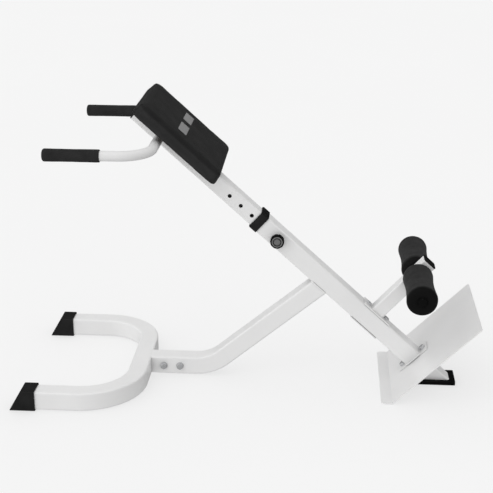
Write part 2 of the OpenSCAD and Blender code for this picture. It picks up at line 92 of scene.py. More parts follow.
camera_data = bpy.data.cameras.new("camera")
camera_data.lens = 83.1
camera_data.sensor_width = 36
camera_data.clip_start, camera_data.clip_end = 0.05, 100
camera = bpy.data.objects.new("camera", camera_data)
camera.location = (0.1962, -2.8685, 1.4128)
camera.rotation_euler = (math.radians(90 - 19.83), 0, math.radians(4.07))
bpy.context.scene.collection.objects.link(camera)
bpy.context.scene.camera = camera

# ---- Materials ---------------------------------------------------------------------------


class Finish:
    """One procedural material: a Principled shader with noise in its colour, gloss and bump."""

    def __init__(self, name, roughness, metallic=0.0, **sockets):
        self.material = bpy.data.materials.new(name)
        self.material.use_nodes = True
        self.tree = self.material.node_tree
        self.shader = self.tree.nodes["Principled BSDF"]
        self.shader.inputs["Roughness"].default_value = roughness
        self.shader.inputs["Metallic"].default_value = metallic
        for socket, value in sockets.items():
            self.shader.inputs[socket.replace("_", " ")].default_value = value
        self.place = self.node("ShaderNodeTexCoord").outputs["Object"]

    def node(self, kind, inputs=None, **settings):
        made = self.tree.nodes.new(kind)
        for name, value in settings.items():
            setattr(made, name, value)
        for name, value in (inputs or {}).items():
            if isinstance(value, bpy.types.NodeSocket):
                self.tree.links.new(value, made.inputs[name])
            else:
                made.inputs[name].default_value = value
        return made

    def stretched(self, scale, turn=(0, 0, 0), shift=(0, 0, 0)):
        """Texture coordinates turned and scaled, for grain with a direction."""
        return self.node("ShaderNodeMapping", {
            "Vector": self.place, "Location": shift, "Rotation": turn, "Scale": scale,
        }).outputs["Vector"]

    def noise(self, scale, detail=2.0, rough=0.5, vector=None):
        return self.node("ShaderNodeTexNoise", {
            "Vector": vector or self.place, "Scale": scale, "Detail": detail, "Roughness": rough,
        }).outputs["Fac"]

    def cells(self, scale, feature="DISTANCE_TO_EDGE"):
        return self.node("ShaderNodeTexVoronoi", {
            "Vector": self.place, "Scale": scale,
        }, feature=feature).outputs["Distance"]

    def spread(self, value, low, high, start=0.3, end=0.7):
        return self.node("ShaderNodeMapRange", {
            "Value": value, "From Min": start, "From Max": end, "To Min": low, "To Max": high,
        }).outputs["Result"]

    def mix(self, factor, first, second):
        made = self.node("ShaderNodeMix", data_type="RGBA")
        self.tree.links.new(factor, made.inputs[0])
        colours = [s for s in made.inputs if s.type == "RGBA"]
        for socket, value in zip(colours, (first, second)):
            if isinstance(value, bpy.types.NodeSocket):
                self.tree.links.new(value, socket)
            else:
                socket.default_value = (*value, 1)
        return next(s for s in made.outputs if s.type == "RGBA")

    def colour(self, value):
        self.tree.links.new(value, self.shader.inputs["Base Color"])

    def gloss(self, value):
        self.tree.links.new(value, self.shader.inputs["Roughness"])

    def bump(self, *layers):
        """Layers are (height socket, strength, distance in metres)."""
        normal = None
        for height, strength, distance in layers:
            inputs = {"Height": height, "Strength": strength, "Distance": distance}
            if normal is not None:
                inputs["Normal"] = normal
            normal = self.node("ShaderNodeBump", inputs).outputs["Normal"]
        self.tree.links.new(normal, self.shader.inputs["Normal"])

    def edges(self, width):
        """1 along convex edges and 0 on flat faces, for wear."""
        inside = self.node("ShaderNodeAmbientOcclusion", {"Distance": width}, samples=4, inside=True)
        return self.spread(inside.outputs["AO"], 1.0, 0.0, 0.45, 0.85)

    def times(self, first, second):
        return self.node("ShaderNodeMath", {0: first, 1: second}, operation="MULTIPLY").outputs[0]


def grey(level, warm=0.0):
    return (level * (1 + warm), level, level * (1 - warm))


def make_paint(name, level, reach):
    """A slightly uneven powder coat, with painted shade: darker where other surfaces lie within reach, in
    metres.
    """
    f = Finish(name, 0.42, Specular_IOR_Level=0.35, Coat_Weight=0.08, Coat_Roughness=0.25)
    cloudy = f.noise(9, 3)
    paint = f.mix(f.spread(cloudy, 0, 1), grey(level - 0.012, 0.002), grey(level + 0.012, 0.002))
    # Painted shade: the colour goes darker in corners and between parts, where other surfaces shade it.
    painted_shade_ao = f.node("ShaderNodeAmbientOcclusion", {"Distance": reach}, samples=8).outputs["AO"]
    f.colour(f.mix(f.spread(painted_shade_ao, 0, 1, 0.25, 0.8), grey(level * 0.6), paint))
    f.gloss(f.spread(f.noise(60, 4), 0.36, 0.5))
    f.bump((f.noise(950, 2, 0.55), 0.10, 0.0006), (f.noise(170, 1), 0.05, 0.001))
    return f.material


def make_plastic():
    f = Finish("black_moulded_plastic", 0.5, Specular_IOR_Level=0.3)
    worn = f.times(f.edges(0.0012), f.spread(f.noise(120, 4), 0.0, 0.8, 0.42, 0.62))
    base = f.mix(f.spread(f.noise(30, 3), 0, 1), grey(0.010), grey(0.015))
    f.colour(f.mix(worn, base, grey(0.05)))
    f.gloss(f.spread(f.noise(90, 3), 0.42, 0.62))
    f.bump((f.noise(1500, 2, 0.6), 0.25, 0.0003))
    return f.material


def make_rubber(name, level, specular):
    f = Finish(name, 0.68, Specular_IOR_Level=specular)
    worn = f.times(f.edges(0.0018), f.spread(f.noise(90, 5), 0.0, 0.9, 0.4, 0.65))
    base = f.mix(f.spread(f.noise(22, 4), 0, 1), grey(level * 0.8), grey(level * 1.3))
    f.colour(f.mix(worn, base, grey(level * 3.2)))
    f.gloss(f.spread(f.noise(70, 3), 0.58, 0.78))
    f.bump((f.noise(1100, 3, 0.6), 0.35, 0.0004))
    return f.material


def make_foam(name, level, pore_scale, cut_and_shaded_ends=None):
    """Foam rubber. Outside a pair of distances from the middle, given as the last argument, it is darker: cut
    foam on the end faces, and painted shade over the rounded shoulders.
    """
    f = Finish(name, 0.82, Specular_IOR_Level=0.2, Sheen_Weight=0.06, Sheen_Roughness=0.4)
    base = f.mix(f.spread(f.noise(40, 4), 0, 1), grey(level * 0.85), grey(level * 1.2))
    pores = f.cells(pore_scale, "F1")
    skin = f.mix(f.spread(pores, 1.0, 0.0, 0.0, 0.35), base, grey(level * 0.55))
    # Painted shade: the darkening reaches past the cut end faces over the rounded shoulders.
    if cut_and_shaded_ends:
        across = f.node("ShaderNodeSeparateXYZ", {"Vector": f.place}).outputs["Y"]
        away = f.node("ShaderNodeMath", {0: across}, operation="ABSOLUTE").outputs[0]
        inner, outer = cut_and_shaded_ends
        skin = f.mix(f.spread(away, 0, 1, outer, outer + 0.006), skin, grey(level * 0.2))
        skin = f.mix(f.spread(away, 1, 0, inner - 0.005, inner), skin, grey(level * 0.3))
    f.colour(skin)
    f.gloss(f.spread(f.noise(55, 3), 0.72, 0.9))
    f.bump((pores, 0.45, 0.0004), (f.noise(260, 4, 0.6), 0.2, 0.0008))
    return f.material


def make_vinyl():
    f = Finish("pad_vinyl", 0.46, Specular_IOR_Level=0.5, Sheen_Weight=0.04, Sheen_Roughness=0.5)
    grain = f.cells(420)
    creases = f.cells(150)
    base = f.mix(f.spread(f.noise(14, 4), 0, 1), grey(0.0155), grey(0.0215))
    f.colour(f.mix(f.spread(grain, 1.0, 0.0, 0.0, 0.10), base, grey(0.008)))
    f.gloss(f.spread(f.noise(18, 4), 0.4, 0.56))
    f.bump(
        (f.spread(grain, 0.0, 1.0, 0.0, 0.16), 0.35, 0.00025),
        (f.spread(creases, 0.0, 1.0, 0.0, 0.08), 0.12, 0.0003),
        (f.noise(1600, 2), 0.12, 0.0001),
    )
    return f.material


def make_zinc():
    f = Finish("zinc_plated_steel", 0.3, metallic=0.4)
    flakes = f.cells(420, "F1")
    f.colour(f.mix(f.spread(flakes, 0, 1, 0.1, 0.7), grey(0.60), (0.70, 0.71, 0.73)))
    f.gloss(f.spread(f.noise(220, 4), 0.12, 0.30))
    f.bump((f.noise(900, 3, 0.6), 0.2, 0.0002))
    return f.material


def make_plywood():
    f = Finish("stained_plywood", 0.62, Specular_IOR_Level=0.3)
    slope = math.atan2(OUT.x, OUT.z)
    grain = f.stretched((9, 160, 400), (0, -slope, 0))
    plies = f.stretched((1, 1, 330), (0, -slope, 0))
    figure = f.noise(1.0, 5, 0.6, grain)
    layers = f.node("ShaderNodeTexWave", {
        "Vector": plies, "Scale": 0.5, "Distortion": 0.6, "Detail": 2.0,
    }, wave_type="BANDS", bands_direction="Z").outputs["Fac"]
    wood = f.mix(f.spread(figure, 0, 1), (0.050, 0.036, 0.024), (0.090, 0.066, 0.044))
    f.colour(f.mix(f.spread(layers, 0.0, 0.45, 0.2, 0.8), wood, (0.034, 0.024, 0.016)))
    f.gloss(f.spread(figure, 0.52, 0.72))
    f.bump((figure, 0.3, 0.0005))
    return f.material


def make_turned_metal():
    f = Finish("turned_knob_metal", 0.28, metallic=0.6)
    centre = middle("pin_knob_disc")
    rings = f.node("ShaderNodeTexWave", {
        "Vector": f.stretched((1, 1, 1), shift=tuple(-centre)), "Scale": 700, "Distortion": 0.4,
    }, wave_type="RINGS", rings_direction="Y").outputs["Fac"]
    distance = f.node("ShaderNodeVectorMath", {
        "Vector": f.stretched((1, 0, 1), shift=(-centre.x, 0, -centre.z)),
    }, operation="LENGTH").outputs["Value"]
    # Painted shade: a dark ring stands for the shade in a groove on the disc's face, which is not modelled.
    painted_groove_shade = f.times(f.spread(distance, 0, 1, 0.0084, 0.0090), f.spread(distance, 1, 0, 0.0110, 0.0116))
    f.colour(f.mix(painted_groove_shade, f.mix(rings, grey(0.19), grey(0.31)), grey(0.012)))
    f.gloss(f.spread(f.noise(300, 3), 0.26, 0.40))
    f.bump((rings, 0.25, 0.0001))
    return f.material


def make_print():
    f = Finish("grey_print", 0.55, Specular_IOR_Level=0.35)
    flecks = f.noise(700, 4, 0.65)
    f.colour(f.mix(f.spread(flecks, 0, 1, 0.35, 0.62), grey(0.22), grey(0.32)))
    f.gloss(f.spread(f.noise(80, 3), 0.48, 0.64))
    f.bump((f.cells(420), 0.3, 0.0002))
    return f.material


FINISHES = {
    "white_paint": make_paint("white_powder_coat", 0.825, 0.07),
    "black_plastic": make_plastic(),
    "black_rubber": make_rubber("black_rubber_cap", 0.014, 0.3),
    "grip_foam": make_foam("grip_foam_rubber", 0.022, 1300),
    "roller_foam": make_foam("roller_foam_rubber", 0.023, 1000, (0.031, 0.190)),
    "pad_cover": make_vinyl(),
    "zinc_steel": make_zinc(),
    "plywood": make_plywood(),
    "knob_metal": make_turned_metal(),
}
PRINT = make_print()

for cad in NODES.values():
    cad.data.materials[0] = FINISHES[cad.data.materials[0].name]

# Painted shade: a darker copy of the white coat for the handlebars, with a longer reach, for the shade and
# the pad's shadow on their bends.
shaded_handle_paint = make_paint("handle_coat_painted_shade", 0.78, 0.16)
for node in ("handlebar_left", "handlebar_right"):
    NODES[node].data.materials[0] = shaded_handle_paint
# A darker copy of the black rubber, partly painted shade: the rear shoe low by the floor is darkened for the
# shade it sits in.
rubber_dark_and_painted_shade = make_rubber("rubber_dark_and_painted_shade", 0.0045, 0.07)
for node in ("rear_shoe", "axle_end_plugs", "roller_sleeve_left", "roller_sleeve_right", "pin_knob"):
    NODES[node].data.materials[0] = rubber_dark_and_painted_shade

# ---- Rounded edges on the CAD nodes ------------------------------------------------------

EDGE_RADIUS = {
    "front_cap_left": 1.6, "front_cap_right": 1.6, "rear_shoe": 1.5,
    "foot_plate": 0.8, "beam_end_flange": 0.7, "rear_foot_flange": 0.7, "post_flange": 0.7,
    "post_back_plate": 0.7, "rear_foot_base": 0.6, "beam_collar": 0.4, "post_cap": 0.9,
    "inner_tube_plug": 0.8, "pad_bracket_lower": 0.5, "pad_bracket_upper": 0.5, "pin_knob": 0.7,
    "axle_end_plugs": 0.7, "pad_board": 0.6, "base_washers": 0.3, "post_washers": 0.25,
    "plate_washers": 0.25, "axle_spacers": 0.4, "pin_knob_disc": 0.3,
}


def soften(node, width):
    part = NODES[node]
    weld = part.modifiers.new("weld", "WELD")
    weld.merge_threshold = 1e-5
    flat = part.modifiers.new("flat", "DECIMATE")
    flat.decimate_type = "DISSOLVE"
    flat.angle_limit = math.radians(0.8)
    bevel = part.modifiers.new("bevel", "BEVEL")
    bevel.width = width
    bevel.segments = 3
    bevel.limit_method = "ANGLE"
    bevel.angle_limit = math.radians(38)
    bevel.use_clamp_overlap = True
    bevel.harden_normals = False
    weighted = part.modifiers.new("weighted", "WEIGHTED_NORMAL")
    weighted.weight = 100
    weighted.keep_sharp = False


for node, radius in EDGE_RADIUS.items():
    soften(node, radius * MM)

# ---- Mesh building -----------------------------------------------------------------------


def piece(name, points, faces, slot, body, material=None):
    mesh = bpy.data.meshes.new(name)
    mesh.from_pydata([tuple(p) for p in points], [], faces)
    mesh.validate()
    work = bmesh.new()
    work.from_mesh(mesh)
    bmesh.ops.recalc_face_normals(work, faces=work.faces)
    work.to_mesh(mesh)
    work.free()
    for polygon in mesh.polygons:
        polygon.use_smooth = True
    mesh.materials.append(material or FINISHES[slot])
    made = bpy.data.objects.new(name, mesh)
    bpy.context.scene.collection.objects.link(made)
    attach(made, body)
    return made


def sharp_by_angle(made, degrees=35):
    made.data.set_sharp_from_angle(angle=math.radians(degrees))


class Build:
    """Collects the points and faces of one piece made of several shells."""

    def __init__(self):
        self.points, self.faces = [], []

    def add(self, points, faces):
        start = len(self.points)
        self.points += [Vector(p) for p in points]
        self.faces += [[start + i for i in f] for f in faces]

    def rings(self, rings, loop=False):
        """Skins rings with equal counts of points, and caps both ends unless they form a loop."""
        count = len(rings[0])
        faces = []
        steps = len(rings) if loop else len(rings) - 1
        for k in range(steps):
            low, high = k * count, ((k + 1) % len(rings)) * count
            for i in range(count):
                j = (i + 1) % count
                faces.append([low + i, low + j, high + j, high + i])
        if not loop:
            faces.append(list(range(count))[::-1])
            faces.append([(len(rings) - 1) * count + i for i in range(count)])
        self.add([p for ring in rings for p in ring], faces)


def side_axes(axis):
    helper = Vector((0, 0, 1)) if abs(axis.z) < 0.8 else Vector((1, 0, 0))
    u = axis.cross(helper).normalized()
    return u, axis.cross(u).normalized()


def round_ring(centre, axis, radius, count):
    u, v = side_axes(axis)
    return [centre + (u * math.cos(a) + v * math.sin(a)) * radius
            for a in (math.tau * k / count for k in range(count))]


def hex_radius(flats, angle):
    """Distance from the middle of a hexagon to its edge, in the direction angle."""
    sector = (angle + math.pi / 6) % (math.pi / 3) - math.pi / 6
    return flats / 2 / math.cos(sector)


def hex_rings(centre, axis, flats, low, high, chamfer_low, chamfer_high, bore=0.0, count=72):
    """A hexagon head or nut, with the curved corners that a turned 30 degree chamfer leaves."""
    u, v = side_axes(axis)
    flat_radius = flats * 0.475
    angles = [math.tau * k / count for k in range(count)]

    def ring(radius_of, height_of):
        return [centre + (u * math.cos(a) + v * math.sin(a)) * radius_of(a) + axis * height_of(a)
                for a in angles]

    def corner(a):
        return hex_radius(flats, a)

    def drop(a):
        return max(0.0, corner(a) - flat_radius) * math.tan(math.radians(30))

    inner = bore / 2 if bore else flats * 0.06
    rings = [ring(lambda a: inner, lambda a: low)]
    if chamfer_low:
        rings += [ring(lambda a: flat_radius, lambda a: low), ring(corner, lambda a: low + drop(a))]
    else:
        rings += [ring(corner, lambda a: low)]
    if chamfer_high:
        rings += [ring(corner, lambda a: high - drop(a)), ring(lambda a: flat_radius, lambda a: high)]
    else:
        rings += [ring(corner, lambda a: high)]
    rings += [ring(lambda a: inner, lambda a: high)]
    return rings


def thread_rings(centre, axis, diameter, pitch, start, end, count=36):
    """A screw thread between two distances along the axis, as a finely stepped helix."""
    u, v = side_axes(axis)
    depth = pitch * 0.55
    steps = max(2, round((end - start) / (pitch / 6)))
    rings = []
    for k in range(steps + 1):
        along = start + (end - start) * k / steps
        fade = min(1.0, (end - along) / (pitch * 0.8) + 0.15)
        ring = []
        for i in range(count):
            angle = math.tau * i / count
            phase = (along / pitch - i / count) % 1.0
            valley = abs(2 * phase - 1)
            radius = (diameter / 2 - depth * valley) * (0.86 + 0.14 * fade)
            ring.append(centre + (u * math.cos(angle) + v * math.sin(angle)) * radius + axis * along)
        rings.append(ring)
    return rings


def bolt(build, seat, axis, thread, flats, head, length, grip, pitch):
    """A hexagon bolt. Seat is under the head, axis points from the tip to the head."""
    build.rings(hex_rings(seat, axis, flats, 0.0, head, False, True))
    down = -axis
    build.rings([round_ring(seat + down * d, axis, thread / 2, 36) for d in (-0.0002, grip)])
    build.rings(thread_rings(seat, down, thread, pitch, grip, length))


def nut(build, seat, axis, thread, flats, height):
    build.rings(hex_rings(seat, axis, flats, 0.0, height, True, True, thread), loop=True)


# ---- Bolts and nuts ------------------------------------------------------------------------

M8, M8_FLATS, M8_HEAD, M8_NUT, M8_WASHER, M8_PITCH = (x * MM for x in (8, 13, 5.3, 6.5, 1.6, 1.25))
M8_THIN_NUT = 4 * MM
M10, M10_FLATS, M10_HEAD, M10_NUT, M10_PITCH = (x * MM for x in (10, 16, 6.4, 8, 1.5))


def make_fasteners():
    low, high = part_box("base_bolts")
    nut_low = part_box("base_nuts")[0]
    centre = (low + high) / 2
    bolts, nuts = Build(), Build()
    for side in (-1, 1):
        at = Vector((centre.x + side * BASE_BOLT, low.y + M10_HEAD, centre.z))
        bolt(bolts, at, -ACROSS, M10, M10_FLATS, M10_HEAD, high.y - at.y,
             nut_low.y - at.y - 4 * MM, M10_PITCH)
        nut(nuts, Vector((at.x, nut_low.y, centre.z)), ACROSS, M10, M10_FLATS, M10_NUT)
    sets = [("base", bolts, nuts)]

    bolts, nuts = Build(), Build()
    flange_top = BEAM_W + FLANGE_T
    for side in (-1, 1):
        s = POST_S + side * POST_BOLT
        bolt(bolts, on_beam(s, flange_top), OUT, M8, M8_FLATS, M8_HEAD, 62 * MM, 50 * MM, M8_PITCH)
        nut(nuts, on_beam(s, -FLANGE_T - M8_WASHER), -OUT, M8, M8_FLATS, M8_THIN_NUT)
    sets.append(("post", bolts, nuts))

    bolts, nuts = Build(), Build()
    for side in (-1, 1):
        w = side * FLANGE_BOLT
        bolt(bolts, on_plate(w, -FLANGE_T - M8_WASHER), -PLATE_IN, M8, M8_FLATS, M8_HEAD,
             21 * MM, 9 * MM, M8_PITCH)
        nut(nuts, on_plate(w, PLATE_T + FLANGE_T + M8_WASHER), PLATE_IN, M8, M8_FLATS, M8_NUT)
    sets.append(("plate", bolts, nuts))

    for name, bolts, nuts in sets:
        for kind, build in (("bolts", bolts), ("nuts", nuts)):
            made = piece(f"{name}_{kind}_threaded", build.points, build.faces, "zinc_steel", "frame")
            sharp_by_angle(made)
            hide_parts(f"{name}_{kind}")

    screws = Build()
    for s in BRACKET_S:
        for y in (-75 * MM, 75 * MM):
            bolt(screws, on_beam(s, INNER_TOP, y), -OUT, M8, M8_FLATS, M8_HEAD, 13 * MM, 3 * MM, M8_PITCH)
    made = piece("pad_screws_threaded", screws.points, screws.faces, "zinc_steel", "carriage")
    sharp_by_angle(made)
    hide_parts("pad_screws")


make_fasteners()

# ---- Weld beads ----------------------------------------------------------------------------


def rounded_loop(half_u, half_v, radius, steps=6):
    points = []
    for corner in range(4):
        cu = (half_u - radius) * (1 if corner in (0, 3) else -1)
        cv = (half_v - radius) * (1 if corner in (0, 1) else -1)
        for k in range(steps + 1):
            a = math.pi / 2 * (corner + k / steps)
            points.append((cu + radius * math.cos(a), cv + radius * math.sin(a)))
    return points


def resample(points, spacing, closed):
    """Points at an even spacing along a polyline."""
    path = points + [points[0]] if closed else points
    lengths = [(b - a).length for a, b in zip(path, path[1:])]
    total = sum(lengths)
    count = max(4, round(total / spacing))
    made, index, passed = [], 0, 0.0
    for k in range(count if closed else count + 1):
        target = total * k / count
        while index < len(lengths) - 1 and passed + lengths[index] < target:
            passed += lengths[index]
            index += 1
        share = (target - passed) / max(lengths[index], 1e-9)
        made.append(path[index].lerp(path[index + 1], min(1.0, share)))
    return made


def bead(build, points, normal, radius, closed=True, sides=8):
    """A rippled weld bead that follows the points; normal is square to its run."""
    spacing, ripple = 0.0009, 0.0028
    path = resample(points, spacing, closed)
    rings = []
    for k, point in enumerate(path):
        ahead = path[(k + 1) % len(path)] if closed else path[min(k + 1, len(path) - 1)]
        behind = path[k - 1] if closed else path[max(k - 1, 0)]
        tangent = (ahead - behind).normalized()
        across = tangent.cross(normal).normalized()
        swell = abs(math.sin(math.pi * k * spacing / ripple))
        size = radius * (0.84 + 0.16 * swell + 0.05 * noise.noise(point * 160))
        if not closed:
            size *= min(1.0, 0.35 + min(k, len(path) - 1 - k) * 0.25)
        rings.append([point + (across * math.cos(a) + normal * math.sin(a)) * size
                      for a in (math.tau * i / sides for i in range(sides))])
    build.rings(rings, loop=closed)


def tube_outline(centre, u, v, half, radius, direction, plane_point, plane_normal):
    """Where a square tube's skin meets a plane."""
    points = []
    for a, b in rounded_loop(half, half, radius):
        p = centre + u * a + v * b
        points.append(p + direction * ((plane_point - p).dot(plane_normal) / direction.dot(plane_normal)))
    return points


def make_welds():
    half, corner = 25 * MM, 5 * MM
    frame_welds = Build()
    # The support tube under the beam.
    slope = math.radians(39.6)
    rise = Vector((math.cos(slope), 0, math.sin(slope)))
    square_up = Vector((-math.sin(slope), 0, math.cos(slope)))
    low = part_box("support_tube")[0]
    knee = Vector((low.x - 2 * MM + 168 * MM, 0, 28 * MM))
    loop = tube_outline(knee, ACROSS, square_up, half, corner, rise, on_beam(0, 0), OUT)
    bead(frame_welds, loop, OUT, 2.4 * MM)
    # The post on its flange.
    post_loop = [on_beam(POST_S + a, BEAM_W + FLANGE_T, b) for a, b in rounded_loop(19 * MM, 19 * MM, 4 * MM)]
    bead(frame_welds, post_loop, OUT, 2.0 * MM)
    # The beam on its end flange, and the rear foot's tube on its flange.
    for depth in (-FLANGE_T, PLATE_T + FLANGE_T):
        loop = tube_outline(on_beam(0, half), ACROSS, OUT, half, corner, ALONG, on_plate(0, depth), PLATE_IN)
        bead(frame_welds, loop, PLATE_IN, 2.2 * MM)
    # The pull pin's nut.
    centre = middle("pin_weld_nut")
    face = Vector((centre.x, -half, centre.z))
    hexagon = [face + (ALONG * math.cos(a) + OUT * math.sin(a)) * 13.2 * MM
               for a in (math.tau * k / 24 for k in range(24))]
    bead(frame_welds, hexagon, ACROSS, 1.2 * MM)
    made = piece("weld_beads_frame", frame_welds.points, frame_welds.faces, "white_paint", "frame")
    made.data.shade_smooth()

    moving = Build()
    inner = 22.5 * MM
    for side, bar in ((-1, "handlebar_left"), (1, "handlebar_right")):
        low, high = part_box(bar)
        at = Vector((high.x - 12.7 * MM, side * inner, (low.z + high.z) / 2))
        circle = [at + (ALONG * math.cos(a) + OUT * math.sin(a)) * 12.9 * MM
                  for a in (math.tau * k / 48 for k in range(48))]
        bead(moving, circle, ACROSS, 1.9 * MM)
    for s in BRACKET_S:
        for edge in (-20 * MM, 20 * MM):
            run = [on_beam(s + edge, INNER_TOP, y * MM) for y in range(-16, 17, 4)]
            bead(moving, run, OUT, 1.7 * MM, closed=False)
    made = piece("weld_beads_carriage", moving.points, moving.faces, "white_paint", "carriage")
    made.data.shade_smooth()


make_welds()

# ---- Foam rollers and grips ----------------------------------------------------------------

ROLLER_R, ROLLER_WAIST, SLEEVE_R = 40 * MM, 36.5 * MM, 14 * MM


def lathe(name, origin, axis, profile, slot, body, segments, wobble=0.0, scale=30.0):
    """Turns a closed profile of (radius, distance) pairs about an axis."""
    u, v = side_axes(axis)
    rings = []
    for radius, along in profile:
        ring = []
        for k in range(segments):
            a = math.tau * k / segments
            direction = u * math.cos(a) + v * math.sin(a)
            p = origin + axis * along + direction * radius
            ring.append(p + direction * wobble * noise.noise(p * scale))
        rings.append(ring)
    build = Build()
    build.rings(rings, loop=True)
    return piece(name, build.points, build.faces, slot, body)


def roller_profile(length, radius, waist, bore):
    """The outer shape, from the inner end round to the outer one, closed along the bore."""
    shoulder, drop = 14 * MM, 11.2 * MM
    power = 1.7
    swell = length - 2 * shoulder
    low = [(radius - drop * (1 - math.sin(a)), shoulder * (1 - math.cos(a)))
           for a in (math.radians(d) for d in range(0, 90, 6))]
    body = [(waist + (radius - waist) * abs(2 * t - 1) ** power, shoulder + swell * t)
            for t in (k / 56 for k in range(57))]
    high = [(r, length - d) for r, d in reversed(low)]
    dish = [(bore + 4 * MM, 0.9 * MM), (bore + 1.2 * MM, 1.3 * MM), (bore, 1.6 * MM)]
    top = [(r, length - d) for r, d in reversed(dish)]
    return dish[::-1] + low + body + high + top[::-1]


def make_rollers():
    for side, name in ((-1, "left"), (1, "right")):
        low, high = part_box(f"roller_foam_{name}")
        length = high.y - low.y
        axis = ACROSS * side
        centre = (low + high) / 2
        origin = Vector((centre.x, low.y if side > 0 else high.y, centre.z))
        profile = roller_profile(length, ROLLER_R, ROLLER_WAIST, SLEEVE_R)
        made = lathe(f"ankle_roller_{name}", origin, axis, profile, "roller_foam", f"roller_{name}",
                     96, 0.35 * MM, 38)
        sharp_by_angle(made, 60)
        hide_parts(f"roller_foam_{name}")


def grip_profile(length):
    """The closed end rounds over the tube's end, the open end has a soft lip."""
    r, wall, end = 16 * MM, 12.7 * MM, 4 * MM
    nose = [(0.4 * MM, 0.35 * MM), (5 * MM, 0.2 * MM), (9 * MM, 0.15 * MM)]
    nose += [(r - 5.5 * MM * (1 - math.sin(a)), 5.5 * MM * (1 - math.cos(a)))
             for a in (math.radians(d) for d in range(0, 91, 10))]
    body = [(r - 0.35 * MM * math.sin(math.pi * t) ** 2, 5.5 * MM + (length - 10 * MM) * t)
            for t in (k / 40 for k in range(1, 40))]
    lip = [(r - 0.2 * MM, length - 4 * MM), (r - 0.1 * MM, length - 2 * MM),
           (r - 0.7 * MM, length - 0.7 * MM), (r - 1.6 * MM, length)]
    bore = [(wall + 0.3 * MM, length), (wall, length - 0.6 * MM), (wall, end), (0.4 * MM, end)]
    return nose + body + lip + bore


def make_grips():
    for name in ("left", "right"):
        low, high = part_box(f"grip_{name}")
        centre = (low + high) / 2
        origin = Vector((low.x, centre.y, centre.z))
        made = lathe(f"foam_grip_{name}", origin, Vector((1, 0, 0)), grip_profile(high.x - low.x),
                     "grip_foam", "carriage", 64, 0.22 * MM, 60)
        sharp_by_angle(made, 60)
        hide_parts(f"grip_{name}")


make_rollers()
make_grips()

# ---- Hip pad -------------------------------------------------------------------------------

PAD_S, PAD_LOW, PAD_TOP = 951.5 * MM, 50.5 * MM, 86.5 * MM
PAD_L, PAD_W, PAD_CORNER = 277 * MM, 284 * MM, 20 * MM
BOARD_T = 12 * MM
WRAP = 2.5 * MM                                  # how far the rim hangs below the board


def pad_point(a, b, h):
    """Pad coordinates: a up the beam from the pad's middle, b across, h above the beam's underside."""
    return on_beam(PAD_S + a, h, b)


def pad_coordinates(p):
    d = p - BEAM_ORIGIN
    return d.dot(ALONG) - PAD_S, d.dot(ACROSS), d.dot(OUT)


def cushion_blank():
    """The pad before it is inflated, a little smaller than the finished one."""
    inset, low, high = 3.2 * MM, PAD_LOW - WRAP, PAD_TOP - 3.4 * MM
    edge = 7 * MM
    rings = []

    def ring(shrink, h):
        return [pad_point(a, b, h) for a, b in
                rounded_loop(PAD_L / 2 - shrink, PAD_W / 2 - shrink, max(PAD_CORNER - shrink, 6 * MM), 10)]

    for shrink in (90, 60, 30, 12):
        rings.append(ring(inset + shrink * MM, low))
    rings.append(ring(inset + 1.5 * MM, low))
    rings.append(ring(inset, low + 1.5 * MM))
    for k in range(1, 6):
        rings.append(ring(inset, low + (high - edge - low) * k / 5))
    for degrees in range(15, 91, 15):
        a = math.radians(degrees)
        rings.append(ring(inset + edge * (1 - math.cos(a)), high - edge + edge * math.sin(a)))
    for shrink in (12, 30, 60, 90):
        rings.append(ring(inset + edge + shrink * MM, high))
    build = Build()
    build.rings(rings)
    return build


def apply_modifiers(made):
    bpy.context.view_layer.update()
    dg = bpy.context.evaluated_depsgraph_get()
    mesh = bpy.data.meshes.new_from_object(made.evaluated_get(dg), depsgraph=dg)
    old = made.data
    made.modifiers.clear()
    made.data = mesh
    bpy.data.meshes.remove(old)


def inflate(made, cap):
    """Cloth simulation: the cover swells under pressure and is held where it is stapled."""
    rest = [v.co.copy() for v in made.data.vertices]
    pinned = made.vertex_groups.new(name="stapled")
    for v in made.data.vertices:
        if pad_coordinates(v.co)[2] < PAD_LOW + 3 * MM:
            pinned.add([v.index], 1.0, "REPLACE")
    cloth = made.modifiers.new("cloth", "CLOTH")
    settings = cloth.settings
    settings.quality = 5
    settings.mass = 0.3
    settings.tension_stiffness = settings.compression_stiffness = 12
    settings.shear_stiffness = 4
    settings.bending_stiffness = 0.6
    settings.use_pressure = True
    settings.uniform_pressure_force = 4
    settings.vertex_group_mass = "stapled"
    settings.effector_weights.gravity = 0
    cloth.collision_settings.use_collision = False
    scene = bpy.context.scene
    for number in range(1, 21):
        scene.frame_set(number)
    apply_modifiers(made)
    scene.frame_set(1)
    for v, start in zip(made.data.vertices, rest):
        moved = v.co - start
        if moved.length > cap:
            v.co = start + moved * (cap / moved.length)


def smooth_mesh(made, factor, rounds):
    work = bmesh.new()
    work.from_mesh(made.data)
    for _ in range(rounds):
        bmesh.ops.smooth_vert(work, verts=work.verts, factor=factor,
                              use_axis_x=True, use_axis_y=True, use_axis_z=True)
    work.to_mesh(made.data)
    work.free()


def shape_cover(made):
    """Pulls the cover in at its rounded corners with small pleats, and adds slight unevenness."""
    for v in made.data.vertices:
        a, b, h = pad_coordinates(v.co)
        height = min(1.0, max(0.0, (h - PAD_LOW) / (PAD_TOP - PAD_LOW)))
        ca = abs(a) - (PAD_L / 2 - PAD_CORNER)
        cb = abs(b) - (PAD_W / 2 - PAD_CORNER)
        shift = 0.25 * MM * noise.noise(Vector((a, b, h)) * 22)
        outward = Vector((0, 0, 0))
        if ca > 0 and cb > 0 and height < 0.75:
            angle = math.atan2(cb, ca)
            fold = math.sin(angle * 14) * (1 - height / 0.75) ** 1.5
            outward = (ALONG * math.copysign(ca, a) + ACROSS * math.copysign(cb, b)).normalized()
            outward *= 0.55 * MM * fold
        v.co += outward + OUT * shift * (1 if height > 0.5 else 0.2)


